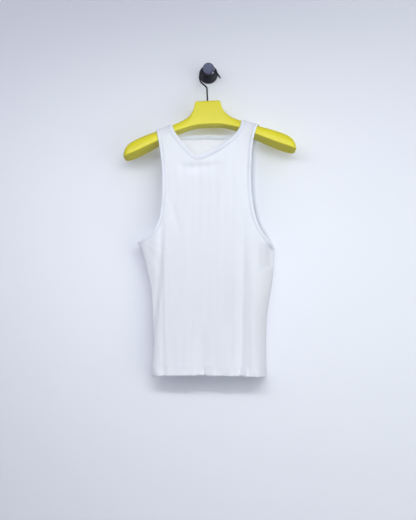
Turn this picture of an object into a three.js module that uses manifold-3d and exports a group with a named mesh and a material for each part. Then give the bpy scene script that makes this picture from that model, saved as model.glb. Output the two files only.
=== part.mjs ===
// Tank top on a contoured hanger, hung by its wire hook from a turned wall peg.
// Millimetres. +Z is up, +X is to the right of someone facing the front, and -Y comes out of the wall.
// The origin is the centre of the peg's back face, which lies on the wall in the plane y = 0.

import * as THREE from 'three';
import { mergeVertices } from 'three/addons/utils/BufferGeometryUtils.js';
import Module from 'manifold-3d';

// Cloth
const panelWall = 1.4;
const bindingWall = 2.2;
const neckBindingWidth = 10;
const armholeBindingWidth = 8.5;
const seamGap = 0.3;
const hemHeight = 19;
const hemWall = 2.6;
const hemStep = 1.5;
const hemFlare = 4;
const clothClearance = 2.0;

// Hanger, in its own frame: x along the arms, up along the stem, depth towards the wall
const hangerTilt = THREE.MathUtils.degToRad(2.6);
const hangerPitch = THREE.MathUtils.degToRad(8);
const hangerOrigin = new THREE.Vector3(-5.9, -22, 5.1);
const undersideFillet = 2.5;
const neckRounding = 5;
const domeShare = 0.78;
const domeSquareness = 0.92;
const filletShare = 0.18;
const tipHoleRadius = 2.6;
const tipHoleDepth = 3;
const tipHolePlace = { x: 186, depth: 11 };

// One half of the hanger, from its centre to its tip
const hangerStations = [
  { x: 0, top: -84, under: -142, depth: 28, dome: 0 },
  { x: 12, top: -84, under: -142.2, depth: 28, dome: 0 },
  { x: 25.5, top: -84, under: -142.9, depth: 28, dome: 0 },
  { x: 28.6, top: -85.3, under: -143.2, depth: 28, dome: 0 },
  { x: 30.4, top: -88.6, under: -143.4, depth: 28, dome: 0.01 },
  { x: 32.2, top: -97.2, under: -143.7, depth: 28, dome: 0.05 },
  { x: 34.8, top: -104.7, under: -144.2, depth: 28, dome: 0.14 },
  { x: 38.8, top: -111.5, under: -145, depth: 28.1, dome: 0.3 },
  { x: 44, top: -117.2, under: -146.4, depth: 28.5, dome: 0.5 },
  { x: 51, top: -122.4, under: -148.2, depth: 29.1, dome: 0.72 },
  { x: 59, top: -126.6, under: -150.8, depth: 30, dome: 0.9 },
  { x: 66, top: -129.6, under: -153, depth: 31, dome: 1 },
  { x: 76, top: -134, under: -156.6, depth: 33, dome: 1 },
  { x: 88, top: -138.4, under: -163, depth: 36, dome: 1 },
  { x: 103, top: -144.2, under: -171, depth: 40, dome: 1 },
  { x: 118, top: -150, under: -179, depth: 43, dome: 1 },
  { x: 133, top: -155, under: -186.2, depth: 45.5, dome: 1 },
  { x: 148, top: -160, under: -193.4, depth: 47.5, dome: 1 },
  { x: 163, top: -166, under: -200.2, depth: 49, dome: 1 },
  { x: 176, top: -172, under: -205.6, depth: 49.5, dome: 1 },
  { x: 185, top: -177.2, under: -209.2, depth: 48.5, dome: 1 },
  { x: 191, top: -182.3, under: -211.2, depth: 45.5, dome: 1 },
  { x: 195.5, top: -188, under: -212.2, depth: 40, dome: 1 },
  { x: 198.6, top: -194.4, under: -212.4, depth: 32, dome: 1 },
  { x: 200.6, top: -200.6, under: -211.6, depth: 21, dome: 1 },
  { x: 201.5, top: -205, under: -210, depth: 10, dome: 1 },
];

// Wire hook, in the hanger's frame
const wireRadius = 1.9;
const hookRadius = 22;
const hookCentreX = 5.7;
const hookBendLength = 4;
const hookArcStart = THREE.MathUtils.degToRad(225);
const hookTailAngle = THREE.MathUtils.degToRad(31);
const hookTailLength = 17.5;
const stemDepth = 18;
const boreDepth = 20;
const fitGap = 0.3;

// Wall peg: radius against distance from the wall
const pegNeckRadius = 4.6;
const pegProfile = [
  { radius: 0, out: 0 },
  { radius: 22, out: 0 },
  { radius: 22.6, out: 0.6 },
  { radius: 22.6, out: 2.2 },
  { radius: 21.8, out: 3 },
  { radius: 17.6, out: 4.4 },
  { radius: 13.4, out: 6.6 },
  { radius: 9.8, out: 9.6 },
  { radius: 7, out: 13.2 },
  { radius: 5.3, out: 17 },
  { radius: pegNeckRadius, out: 19.8 },
  { radius: pegNeckRadius, out: 26 },
  { radius: 6, out: 28.6 },
  { radius: 10.5, out: 30.6 },
  { radius: 13.2, out: 31.4 },
  { radius: 13.8, out: 32.2 },
  { radius: 13.8, out: 42 },
  { radius: 13.4, out: 42.7 },
  { radius: 12.7, out: 43 },
  { radius: 0, out: 43 },
];

// The garment's side seams as it hangs, from the underarm down
const sideSeams = [
  { z: -731, leftX: -132.5, leftY: -44, rightX: 139.5, rightY: -14 },
  { z: -700, leftX: -132.6, leftY: -44, rightX: 138.4, rightY: -15 },
  { z: -648, leftX: -128.1, leftY: -44, rightX: 137.8, rightY: -17 },
  { z: -600, leftX: -130.6, leftY: -43, rightX: 138.8, rightY: -18 },
  { z: -548, leftX: -133, leftY: -42, rightX: 144.2, rightY: -20 },
  { z: -508, leftX: -137.1, leftY: -42, rightX: 151, rightY: -21 },
  { z: -470, leftX: -145.6, leftY: -41, rightX: 155.4, rightY: -22 },
  { z: -432, leftX: -156.8, leftY: -40, rightX: 158, rightY: -23 },
  { z: -407.4, leftX: -167.5, leftY: -40, rightX: 161.6, rightY: -24 },
];
const leftUnderarm = { x: -167.5, z: -407.4 };
const rightUnderarm = { x: 161.2, z: -422.3 };

// Depth of the two layers away from the side seams, and how far in from each seam they reach it
const layers = [
  { z: -730, front: -52, back: -11, leftTurn: 22, rightTurn: 52 },
  { z: -560, front: -53, back: -12, leftTurn: 34, rightTurn: 60 },
  { z: -410, front: -57, back: -13, leftTurn: 62, rightTurn: 76 },
  { z: -240, front: -60, back: -14, leftTurn: 62, rightTurn: 76 },
  { z: -130, front: -62, back: -17, leftTurn: 62, rightTurn: 76 },
];
const strapBlend = 110;
const shoulderSlope = 0.93;
const seamTurn = 9;

// Finished edges, listed down the front or back from below the arm of the hanger
const frontArmholeLeft = [
  { x: -116.7, z: -169 },
  { x: -111.2, z: -205 },
  { x: -107.8, z: -250 },
  { x: -107.9, z: -290 },
  { x: -111.6, z: -334 },
  { x: -117.5, z: -360 },
  { x: -128, z: -380 },
  { x: -146.1, z: -394.5 },
];
const frontArmholeRight = [
  { x: 104.2, z: -169 },
  { x: 99.6, z: -210 },
  { x: 98.9, z: -250 },
  { x: 100.2, z: -296 },
  { x: 107.1, z: -340 },
  { x: 117.1, z: -368 },
  { x: 131.7, z: -391 },
  { x: 149.1, z: -410.6 },
];
const backArmholeLeft = [
  { x: -116.5, z: -166 },
  { x: -105.5, z: -206 },
  { x: -102.6, z: -250 },
  { x: -103.6, z: -292 },
  { x: -112, z: -338 },
  { x: -124, z: -366 },
  { x: -140, z: -386 },
  { x: -154, z: -397.5 },
];
const backArmholeRight = [
  { x: 116.6, z: -160 },
  { x: 112.9, z: -206 },
  { x: 112.2, z: -250 },
  { x: 113.9, z: -293 },
  { x: 122.8, z: -344 },
  { x: 129.9, z: -365 },
  { x: 141.3, z: -385 },
  { x: 151.5, z: -405 },
];
const frontNeckline = [
  { x: -76.5, z: -156 },
  { x: -62, z: -174.3 },
  { x: -47, z: -192.5 },
  { x: -34, z: -204.4 },
  { x: -24.6, z: -207.7 },
  { x: -13, z: -204.6 },
  { x: 6, z: -196.8 },
  { x: 26, z: -185.4 },
  { x: 43, z: -172.5 },
  { x: 58.5, z: -160.8 },
  { x: 69, z: -148.5 },
];
const backNeckline = [
  { x: -82.5, z: -147 },
  { x: -66, z: -153.5 },
  { x: -40, z: -153.2 },
  { x: 0, z: -151.2 },
  { x: 34, z: -152.8 },
  { x: 60, z: -151.8 },
  { x: 74, z: -143 },
];
const strapsAtShoulder = { leftOuter: -124.8, leftInner: -89.4, rightInner: 80.2, rightOuter: 119.8 };
const neckBottom = { front: -24.6, back: 0 };
const frontHem = { left: -724.2, middle: -721.4, middleX: -2, right: -730.6 };
const backHem = { left: -724.6, middle: -726, middleX: 3, right: -731 };

// The largest folds: each runs from one end to the other, depth positive towards the wall
const frontFolds = [
  { name: 'left side valley', x0: -112, z0: -350, x1: -130, z1: -600, width: 10, depth: 6 },
  { name: 'left hem valley', x0: -112, z0: -500, x1: -105, z1: -735, width: 9, depth: 2.6 },
  { name: 'right long valley', x0: 86, z0: -335, x1: 79, z1: -735, width: 9, depth: 4.6 },
  { name: 'right side roll', x0: 101, z0: -390, x1: 103, z1: -735, width: 12, depth: -3 },
  { name: 'middle valley', x0: -14, z0: -610, x1: -18, z1: -735, width: 10, depth: 3.2 },
  { name: 'middle right roll', x0: 36, z0: -600, x1: 36, z1: -735, width: 18, depth: -1.6 },
  { name: 'underarm hollow', x0: 139, z0: -404, x1: 146, z1: -468, width: 14.5, depth: 20 },
];
const backFolds = [
  { name: 'left valley', x0: -84, z0: -330, x1: -92, z1: -735, width: 11, depth: -5 },
  { name: 'middle valley', x0: 8, z0: -470, x1: 16, z1: -735, width: 14, depth: -5 },
  { name: 'right valley', x0: 74, z0: -360, x1: 66, z1: -735, width: 11, depth: -4 },
];

// Rows and columns of the cloth, shared by the panels and the bindings beside them
const columnsPerHalf = 12;
const sideRows = 11;
const armholeRows = 9;
const strapRows = 6;
const neckRows = 6;
const shoulderRows = 8;
const shoulderLength = 40;
const strapStart = 0.42;
const settleShare = 0.06;
const underarmEase = 1.5;
const easeStart = 0.6;
const middleRise = 0.22;
const edgeDivisions = 600;
const leastReach = 0.02;

// How a fold comes in and dies away, in shares of its length
const foldFade = { before: 0.1, rise: 0.35, after: 0.15, fall: 0.2 };

// Steps and sides of the hanger, the hook and the peg
const domeSteps = 7;
const filletSteps = 2;
const boreSides = 16;
const tipHoleSides = 14;
const stemSteps = 8;
const bendSteps = 4;
const ringSteps = 22;
const tailSteps = 3;
const wireSides = 8;
const wireSteps = 52;
const pegSides = 28;
const hemRows = [0, hemHeight, hemHeight + hemStep];

// Reads a smooth curve through the rows of a table, one column against another
function track(table, key, value) {
  const rows = [...table].sort((a, b) => a[key] - b[key]);
  const slope = (i) => (rows[i + 1][value] - rows[i][value]) / (rows[i + 1][key] - rows[i][key]);
  const last = rows.length - 1;
  const tangents = rows.map((row, i) => {
    if (i === 0) return slope(0);
    if (i === last) return slope(last - 1);
    const before = slope(i - 1);
    const after = slope(i);
    return before * after <= 0 ? 0 : (2 * before * after) / (before + after);
  });
  return (at) => {
    if (at <= rows[0][key]) return rows[0][value];
    if (at >= rows[last][key]) return rows[last][value];
    const i = rows.findIndex((row) => row[key] > at) - 1;
    const span = rows[i + 1][key] - rows[i][key];
    const t = (at - rows[i][key]) / span;
    const rise = t * t * (3 - 2 * t);
    const leave = t * (1 - t) * (1 - t) * span * tangents[i];
    const arrive = t * t * (t - 1) * span * tangents[i + 1];
    return rows[i][value] + (rows[i + 1][value] - rows[i][value]) * rise + leave + arrive;
  };
}

const stationTop = track(hangerStations, 'x', 'top');
const stationUnder = track(hangerStations, 'x', 'under');
const stationDepth = track(hangerStations, 'x', 'depth');
const stationDome = track(hangerStations, 'x', 'dome');

const leftSeamX = track(sideSeams, 'z', 'leftX');
const leftSeamY = track(sideSeams, 'z', 'leftY');
const rightSeamX = track(sideSeams, 'z', 'rightX');
const rightSeamY = track(sideSeams, 'z', 'rightY');
const frontCrest = track(layers, 'z', 'front');
const backCrest = track(layers, 'z', 'back');
const leftTurn = track(layers, 'z', 'leftTurn');
const rightTurn = track(layers, 'z', 'rightTurn');

const ramp = (t) => THREE.MathUtils.clamp(t, 0, 1) * (2 - THREE.MathUtils.clamp(t, 0, 1));
const mix = (a, b, t) => a + (b - a) * t;

// A point of the hanger's own frame, as it hangs
function hangerToPart(x, depth, up) {
  const y = depth * Math.cos(hangerPitch) + up * Math.sin(hangerPitch);
  const z = up * Math.cos(hangerPitch) - depth * Math.sin(hangerPitch);
  const turned = new THREE.Vector3(
    x * Math.cos(hangerTilt) - z * Math.sin(hangerTilt),
    y,
    x * Math.sin(hangerTilt) + z * Math.cos(hangerTilt),
  );
  return turned.add(hangerOrigin);
}

// Half outline of the hanger's section, from the ridge down the wall side to the underside
function halfSection(x) {
  const top = stationTop(Math.abs(x));
  const under = stationUnder(Math.abs(x));
  const half = stationDepth(Math.abs(x)) / 2;
  const dome = stationDome(Math.abs(x));
  const across = mix(neckRounding, half, dome);
  const down = mix(neckRounding, domeShare * (top - under), dome);
  const points = [];
  for (let i = 0; i <= domeSteps; i++) {
    const angle = (i / domeSteps) * Math.PI * 0.5;
    points.push({
      depth: half - across + across * Math.sin(angle) ** domeSquareness,
      up: top - down + down * Math.cos(angle) ** domeSquareness,
    });
  }
  const fillet = Math.min(undersideFillet, filletShare * (top - under));
  for (let i = 0; i <= filletSteps; i++) {
    const angle = (i / filletSteps) * Math.PI * 0.5;
    points.push({
      depth: half - fillet * (1 - Math.cos(angle)),
      up: under + fillet * (1 - Math.sin(angle)),
    });
  }
  return points;
}

// The way the cloth takes over an arm, from the ridge to where it leaves the hanger, in the plane at x
function armPath(x, side) {
  let station = x - hangerOrigin.x;
  for (let i = 0; i < 3; i++) {
    const ridge = stationTop(Math.abs(station)) * Math.cos(hangerPitch);
    station = (x - hangerOrigin.x + ridge * Math.sin(hangerTilt)) / Math.cos(hangerTilt);
  }
  const outline = halfSection(station);
  const mirrored = [{ depth: -outline[1].depth, up: outline[1].up }, ...outline];
  const raised = outline.map((point, i) => {
    const before = mirrored[i];
    const after = outline[Math.min(i + 1, outline.length - 1)];
    const run = after.depth - before.depth;
    const drop = before.up - after.up;
    const length = Math.hypot(run, drop);
    return {
      depth: side * (point.depth + (clothClearance * drop) / length),
      up: point.up + (clothClearance * run) / length,
    };
  });
  const path = [];
  let travelled = 0;
  for (const point of raised) {
    const place = hangerToPart(station, point.depth, point.up);
    const previous = path[path.length - 1];
    if (previous) {
      if (side * (place.y - previous.y) < leastReach) break;
      travelled += Math.hypot(place.y - previous.y, place.z - previous.z);
    }
    path.push({ y: place.y, z: place.z, travelled });
  }
  return path;
}

// Height of the shoulder line, measured along the cloth from where it leaves the arm
function shoulderAt(x, side) {
  const path = armPath(x, side);
  const leave = path[path.length - 1];
  return leave.z + leave.travelled;
}

function foldDepth(folds, x, z) {
  let sum = 0;
  for (const fold of folds) {
    const run = fold.x1 - fold.x0;
    const fall = fold.z1 - fold.z0;
    const length = Math.hypot(run, fall);
    const along = ((x - fold.x0) * run + (z - fold.z0) * fall) / (length * length);
    const off = ((x - fold.x0) * fall - (z - fold.z0) * run) / length;
    const rise = Math.max(0, (along + foldFade.before) / foldFade.rise);
    const fade = Math.min(1, rise, Math.max(0, (1 + foldFade.after - along) / foldFade.fall));
    sum += fold.depth * fade * fade * (3 - 2 * fade) * Math.exp(-((off / fold.width) ** 2));
  }
  return sum;
}

// Height of a layer's lower edge at x
function hemLine(x, side) {
  const hem = side < 0 ? frontHem : backHem;
  const endZ = x < hem.middleX ? hem.left : hem.right;
  const endX = x < hem.middleX ? leftSeamX(endZ) : rightSeamX(endZ);
  return mix(hem.middle, endZ, THREE.MathUtils.clamp((x - hem.middleX) / (endX - hem.middleX), 0, 1));
}

// Depth of a hanging layer: side -1 is the front, 1 the back
function hangingDepth(x, z, side) {
  const crest = side < 0 ? frontCrest(z) : backCrest(z);
  const left = ramp((x - leftSeamX(z)) / leftTurn(z));
  const right = ramp((rightSeamX(z) - x) / rightTurn(z));
  const flare = side * hemFlare * THREE.MathUtils.clamp(1 - (z - hemLine(x, side)) / hemHeight, 0, 1);
  const folded = (foldDepth(side < 0 ? frontFolds : backFolds, x, z) + flare) * Math.min(left, right);
  return crest + (leftSeamY(z) - crest) * (1 - left) + (rightSeamY(z) - crest) * (1 - right) + folded;
}

// Middle of the cloth at x and at the height q measured along it
function clothPoint(x, q, side) {
  const path = armPath(x, side);
  const leave = path[path.length - 1];
  if (q <= leave.z) {
    const near = THREE.MathUtils.smoothstep(q, leave.z - strapBlend, leave.z);
    const depth = hangingDepth(x, q, side) + near * (leave.y - hangingDepth(x, leave.z, side));
    return new THREE.Vector3(x, depth, q);
  }
  const fromRidge = Math.max(0, leave.z + leave.travelled - q);
  const i = Math.max(1, path.findIndex((point) => point.travelled >= fromRidge));
  const t = (fromRidge - path[i - 1].travelled) / (path[i].travelled - path[i - 1].travelled);
  return new THREE.Vector3(x, mix(path[i - 1].y, path[i].y, t), mix(path[i - 1].z, path[i].z, t));
}

// A point a little way along the cloth, over the shoulder line where it goes past it
function clothPointBeyond(x, q, side) {
  const past = q - shoulderAt(x, side);
  return past > 0 ? clothPoint(x, shoulderAt(x, -side) - past, -side) : clothPoint(x, q, side);
}

// Outward direction of the cloth, turned to the side along the side seams
function clothNormal(x, q, side) {
  const step = 1.2;
  const across = clothPoint(x + step, q, side).sub(clothPoint(x - step, q, side));
  const along = clothPointBeyond(x, q + step, side).sub(clothPoint(x, q - step, side));
  if (q > shoulderAt(x, side) - step) {
    const high = shoulderAt(x + step, side) - shoulderAt(x, side);
    const low = shoulderAt(x - step, side) - shoulderAt(x, side);
    across.copy(clothPoint(x + step, q + high, side)).sub(clothPoint(x - step, q + low, side));
  }
  const normal = across.cross(along).multiplyScalar(-side).normalize();
  const nearLeft = 1 - ramp((x - leftSeamX(q)) / seamTurn);
  const nearRight = 1 - ramp((rightSeamX(q) - x) / seamTurn);
  const below = q < leftUnderarm.z + seamTurn ? 1 : 0;
  const turned = below * THREE.MathUtils.smoothstep(Math.max(nearLeft, nearRight), 0, 1);
  const sideways = new THREE.Vector3(nearLeft > nearRight ? -1 : 1, 0, 0);
  return normal.lerp(sideways, turned).normalize();
}

// Collects a grid of cloth points and closes it into a wall
class ClothWall {
  constructor() {
    this.points = [];
    this.found = new Map();
    this.faces = [];
  }

  add(middle, normal, wall) {
    const key = middle.toArray().map((value) => value.toFixed(3)).join(' ');
    if (!this.found.has(key)) {
      this.found.set(key, this.points.length);
      this.points.push({
        outer: middle.clone().addScaledVector(normal, wall / 2),
        inner: middle.clone().addScaledVector(normal, -wall / 2),
      });
    }
    return this.found.get(key);
  }

  // Rows of point numbers, seen from outside: left to right, then upwards
  quilt(rows) {
    for (let j = 0; j + 1 < rows.length; j++) {
      for (let i = 0; i + 1 < rows[j].length; i++) {
        this.faces.push([rows[j][i], rows[j][i + 1], rows[j + 1][i + 1]]);
        this.faces.push([rows[j][i], rows[j + 1][i + 1], rows[j + 1][i]]);
      }
    }
  }

  geometry() {
    const faces = this.faces.filter(([a, b, c]) => a !== b && b !== c && c !== a);
    const edges = new Set();
    for (const [a, b, c] of faces) {
      edges.add(`${a} ${b}`);
      edges.add(`${b} ${c}`);
      edges.add(`${c} ${a}`);
    }
    const index = [];
    for (const [a, b, c] of faces) {
      index.push(2 * a, 2 * b, 2 * c, 2 * a + 1, 2 * c + 1, 2 * b + 1);
    }
    for (const edge of edges) {
      const [a, b] = edge.split(' ').map(Number);
      if (!edges.has(`${b} ${a}`)) {
        index.push(2 * b, 2 * a, 2 * a + 1, 2 * b, 2 * a + 1, 2 * b + 1);
      }
    }
    const places = this.points.flatMap((point) => [...point.outer.toArray(), ...point.inner.toArray()]);
    const shape = new THREE.BufferGeometry();
    shape.setAttribute('position', new THREE.Float32BufferAttribute(places, 3));
    shape.setIndex(index);
    shape.computeVertexNormals();
    return shape;
  }
}

// A finished edge and a line inside it, by the fraction of its length, in the cloth's own plane.
// ease widens the inset towards the far end.
function edgeLines(rows, ends, inset, insetEnds, towards, ease = 0) {
  const between = rows.map((row) => new THREE.Vector2(row.x, row.z));
  const spline = new THREE.SplineCurve([ends[0], ...between, ends[1]]);
  spline.arcLengthDivisions = edgeDivisions;
  return (t) => {
    const edge = spline.getPointAt(t);
    const tangent = spline.getTangentAt(t);
    const width = inset + ease * THREE.MathUtils.smoothstep(t, easeStart, 1);
    const inside = new THREE.Vector2(-tangent.y, tangent.x).multiplyScalar(towards * width).add(edge);
    if (t < settleShare) inside.lerp(insetEnds[0], 1 - t / settleShare);
    if (t > 1 - settleShare) inside.lerp(insetEnds[1], (t - 1 + settleShare) / settleShare);
    return { edge, inside };
  };
}

const shoulderPoint = (x, side) => new THREE.Vector2(x, shoulderAt(x, side));

function seamPoint(underarm, below) {
  const z = underarm.z - below;
  return new THREE.Vector2(underarm.x < 0 ? leftSeamX(z) : rightSeamX(z), z);
}

// One armhole edge from the shoulder to the underarm, with the line that lies inset inside it
function armholeEdge(rows, side, outerX, underarm, inset, ease = 0) {
  const inwards = underarm.x < 0 ? 1 : -1;
  return edgeLines(
    rows,
    [shoulderPoint(outerX, side), new THREE.Vector2(underarm.x, underarm.z)],
    inset,
    [shoulderPoint(outerX + inwards * inset * shoulderSlope, side), seamPoint(underarm, inset + ease)],
    inwards,
    ease,
  );
}

// The neckline from the left shoulder to the right one
function necklineEdge(rows, side, inset) {
  const { leftInner, rightInner } = strapsAtShoulder;
  const run = inset * shoulderSlope;
  return edgeLines(
    rows,
    [shoulderPoint(leftInner, side), shoulderPoint(rightInner, side)],
    inset,
    [shoulderPoint(leftInner - run, side), shoulderPoint(rightInner + run, side)],
    -1,
  );
}

function edgeLength(line, from, to) {
  const pieces = 40;
  let length = 0;
  for (let i = 0; i < pieces; i++) {
    const start = line(mix(from, to, i / pieces)).edge;
    length += start.distanceTo(line(mix(from, to, (i + 1) / pieces)).edge);
  }
  return length;
}

// Places on an edge between two of its fractions: even steps up to the arm, then closer ones over it
function shoulderSteps(line, from, to, evenSteps) {
  const share = shoulderLength / edgeLength(line, from, to);
  const steps = [];
  for (let i = 1; i <= evenSteps; i++) steps.push(mix(from, to, (1 - share) * (i / evenSteps)));
  for (let i = 1; i <= shoulderRows; i++) steps.push(mix(from, to, 1 - share + share * (i / shoulderRows)));
  return steps;
}

// From the underarm, where the fraction is 1, to the shoulder
function armholeSteps(line) {
  const steps = [];
  for (let j = 1; j <= armholeRows; j++) steps.push(mix(1, strapStart, j / armholeRows));
  return [...steps, ...shoulderSteps(line, strapStart, 0, strapRows)];
}

function lowestFraction(line, x) {
  const tries = 200;
  let best = 0;
  for (let i = 1; i < tries; i++) {
    if (Math.abs(line(i / tries).edge.x - x) < Math.abs(line(best).edge.x - x)) best = i / tries;
  }
  return best;
}

// Front or back, from the hem up both sides and over both straps
function makePanel(side, armholes, neckline, hem, lowestNeckX) {
  const wall = new ClothWall();
  const neck = necklineEdge(neckline, side, neckBindingWidth + seamGap);
  const split = lowestFraction(neck, lowestNeckX);
  const neckPoint = neck(split).inside;
  const inset = armholeBindingWidth + seamGap;
  const seamTopZ = (leftUnderarm.z + rightUnderarm.z) / 2 - inset;
  const middleTop = mix(seamTopZ, neckPoint.y, middleRise);
  const { leftOuter, rightOuter } = strapsAtShoulder;
  const halves = [
    { left: true, underarm: leftUnderarm, outerX: leftOuter, rows: armholes.left, hemZ: hem.left },
    { left: false, underarm: rightUnderarm, outerX: rightOuter, rows: armholes.right, hemZ: hem.right },
  ];
  for (const half of halves) {
    const armhole = armholeEdge(half.rows, side, half.outerX, half.underarm, inset, underarmEase);
    const seamTop = seamPoint(half.underarm, inset + underarmEase);
    const seamX = half.left ? leftSeamX : rightSeamX;
    const outerLine = [];
    const innerLine = [];
    const upRows = (j, hemZ, top) => {
      const low = hemRows.length - 1;
      return j <= low ? hemZ + hemRows[j] : mix(hemZ + hemRows[low], top, (j - low) / sideRows);
    };
    const seamRows = sideRows + hemRows.length;
    for (let j = 0; j < seamRows; j++) {
      const z = upRows(j, half.hemZ, seamTop.y);
      const x = mix(hem.middleX, lowestNeckX, j / (seamRows + armholeRows));
      outerLine.push(new THREE.Vector2(seamX(z), z));
      innerLine.push(new THREE.Vector2(x, upRows(j, hem.middle, middleTop)));
    }
    const seamTopMiddle = innerLine[seamRows - 1].clone();
    const neckEnd = half.left ? 0 : 1;
    const neckSteps = shoulderSteps(neck, split, neckEnd, neckRows);
    armholeSteps(armhole).forEach((step, j) => {
      outerLine.push(armhole(step).inside);
      const up = j + 1 - armholeRows;
      if (up <= 0) innerLine.push(seamTopMiddle.clone().lerp(neckPoint, (j + 1) / armholeRows));
      else innerLine.push(neck(neckSteps[up - 1]).inside);
    });
    const rows = outerLine.map((outer, j) => {
      const row = [];
      for (let i = 0; i <= columnsPerHalf; i++) {
        const share = half.left ? i / columnsPerHalf : 1 - i / columnsPerHalf;
        const x = mix(outer.x, innerLine[j].x, share);
        const last = j === outerLine.length - 1;
        const q = last ? shoulderAt(x, side) - seamGap / 2 : mix(outer.y, innerLine[j].y, share);
        const middle = clothPoint(x, q, side);
        if (share === 0 && j < seamRows) middle.y += (side * seamGap) / 2;
        row.push(wall.add(middle, clothNormal(x, q, side), j < 2 ? hemWall : panelWall));
      }
      return side < 0 ? row : row.reverse();
    });
    wall.quilt(rows);
  }
  return wall.geometry();
}

// A closed ring of binding from legs of edge, each given as the fractions to visit in order
function makeBinding(legs, flip) {
  const wall = new ClothWall();
  const ring = [];
  for (const { line, side, steps } of legs) {
    for (const step of steps) {
      const { edge, inside } = line(step);
      const strip = [edge, inside].map((spot) => {
        const q = Math.min(spot.y, shoulderAt(spot.x, side));
        return wall.add(clothPoint(spot.x, q, side), clothNormal(spot.x, q, side), bindingWall);
      });
      ring.push(flip ? strip.reverse() : strip);
    }
  }
  ring.push(ring[0]);
  wall.quilt(ring);
  return wall.geometry();
}

function makeNeckBinding() {
  const legs = [
    { line: necklineEdge(frontNeckline, -1, neckBindingWidth), side: -1, lowest: neckBottom.front },
    { line: necklineEdge(backNeckline, 1, neckBindingWidth), side: 1, lowest: neckBottom.back },
  ];
  for (const leg of legs) {
    const split = lowestFraction(leg.line, leg.lowest);
    const leftSteps = shoulderSteps(leg.line, split, 0, neckRows).reverse();
    leg.steps = [...leftSteps, split, ...shoulderSteps(leg.line, split, 1, neckRows)];
  }
  legs[1].steps.reverse();
  for (const leg of legs) leg.steps.pop();
  return makeBinding(legs, false);
}

function makeArmholeBinding(frontRows, backRows, outerX, underarm) {
  const front = armholeEdge(frontRows, -1, outerX, underarm, armholeBindingWidth);
  const back = armholeEdge(backRows, 1, outerX, underarm, armholeBindingWidth);
  const legs = [
    { line: front, side: -1, steps: armholeSteps(front).reverse() },
    { line: back, side: 1, steps: [1, ...armholeSteps(back)].slice(0, -1) },
  ];
  return makeBinding(legs, underarm.x < 0);
}

// Manifold solid of a closed three.js geometry, and back
const wasm = await Module();
wasm.setup();

function toSolid(geometry) {
  const bare = geometry.clone();
  bare.deleteAttribute('normal');
  bare.deleteAttribute('uv');
  const merged = mergeVertices(bare, 1e-4);
  return new wasm.Manifold(
    new wasm.Mesh({
      numProp: 3,
      vertProperties: new Float32Array(merged.attributes.position.array),
      triVerts: new Uint32Array(merged.index.array),
    }),
  );
}

function toGeometry(solid) {
  const mesh = solid.getMesh();
  const shape = new THREE.BufferGeometry();
  shape.setAttribute('position', new THREE.Float32BufferAttribute(mesh.vertProperties, 3));
  shape.setIndex([...mesh.triVerts]);
  shape.computeVertexNormals();
  return shape;
}

// Hanger body: rounded sections from tip to tip, closed at both ends, in the hanger's frame
function makeHangerLoft() {
  const half = hangerStations.map((row) => row.x);
  const stations = [...half.slice(1).reverse().map((x) => -x), ...half];
  const rings = stations.map((x) => {
    const wallSide = halfSection(x);
    const frontSide = wallSide.slice(1).reverse().map((point) => ({ depth: -point.depth, up: point.up }));
    return [...frontSide, ...wallSide].map((point) => [x, point.depth, point.up]);
  });
  const size = rings[0].length;
  const index = [];
  for (let j = 0; j + 1 < rings.length; j++) {
    for (let i = 0; i < size; i++) {
      const a = j * size + i;
      const b = j * size + ((i + 1) % size);
      index.push(a, a + size, b, b, a + size, b + size);
    }
  }
  for (let i = 1; i + 1 < size; i++) {
    index.push(0, i, i + 1);
    const last = (rings.length - 1) * size;
    index.push(last, last + i + 1, last + i);
  }
  const shape = new THREE.BufferGeometry();
  shape.setAttribute('position', new THREE.Float32BufferAttribute(rings.flat(2), 3));
  shape.setIndex(index);
  return shape;
}

function makeHangerBody() {
  let body = toSolid(makeHangerLoft());
  const bore = new THREE.CylinderGeometry(wireRadius + fitGap, wireRadius + fitGap, boreDepth * 2, boreSides);
  bore.rotateX(Math.PI / 2);
  bore.translate(0, 0, stationTop(0));
  body = body.subtract(toSolid(bore));
  for (const end of [-1, 1]) {
    const hole = new THREE.CylinderGeometry(tipHoleRadius, tipHoleRadius, tipHoleDepth * 2, tipHoleSides);
    hole.rotateX(Math.PI / 2);
    hole.translate(end * tipHolePlace.x, tipHolePlace.depth, stationUnder(tipHolePlace.x));
    body = body.subtract(toSolid(hole));
  }
  return toGeometry(body);
}

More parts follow.
